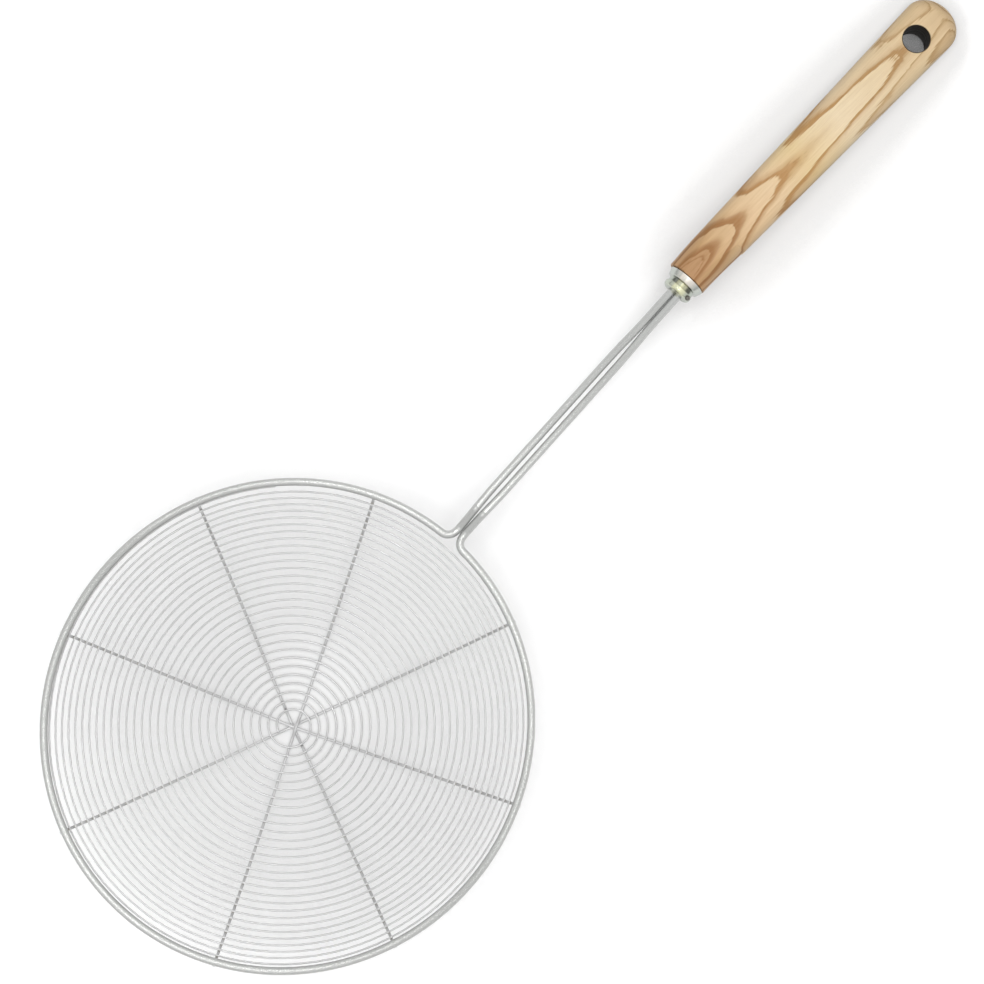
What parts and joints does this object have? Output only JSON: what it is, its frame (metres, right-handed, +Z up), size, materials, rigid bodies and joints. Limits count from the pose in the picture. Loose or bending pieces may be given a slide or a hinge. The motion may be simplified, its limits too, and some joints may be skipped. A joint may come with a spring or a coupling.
{
  "type": "spiral wire skimmer",
  "caption": "Shallow round strainer bowl of spiral wire on crossed spokes under a bent wire rim, with a twin-wire shaft, a ferrule and a wood handle with a hanging hole.",
  "frame": {"origin": "on the surface that the skimmer lies on, under the middle of its bounding box", "axes": "+X from the bowl to the end of the handle, +Z up off the surface, with the bowl's bottom and the handle's end both on z = 0"},
  "size_m": [0.4408, 0.1752, 0.0626],
  "materials": {
    "frame_steel": "polished drawn stainless rod",
    "basket_steel": "bright drawn stainless wire",
    "ferrule_steel": "turned and polished, slightly warm",
    "pin_steel": "dull",
    "handle_wood": "satin oiled ash, flat-sawn grain"
  },
  "bodies": {
    "root": {"frame_wire": "frame_steel", "spiral_wire": "basket_steel", "spoke_wire_1": "basket_steel", "spoke_wire_2": "basket_steel", "spoke_wire_3": "basket_steel", "spoke_wire_4": "basket_steel", "ferrule": "ferrule_steel", "ferrule_pin": "pin_steel", "handle": "handle_wood"}
  },
  "joints": []
}
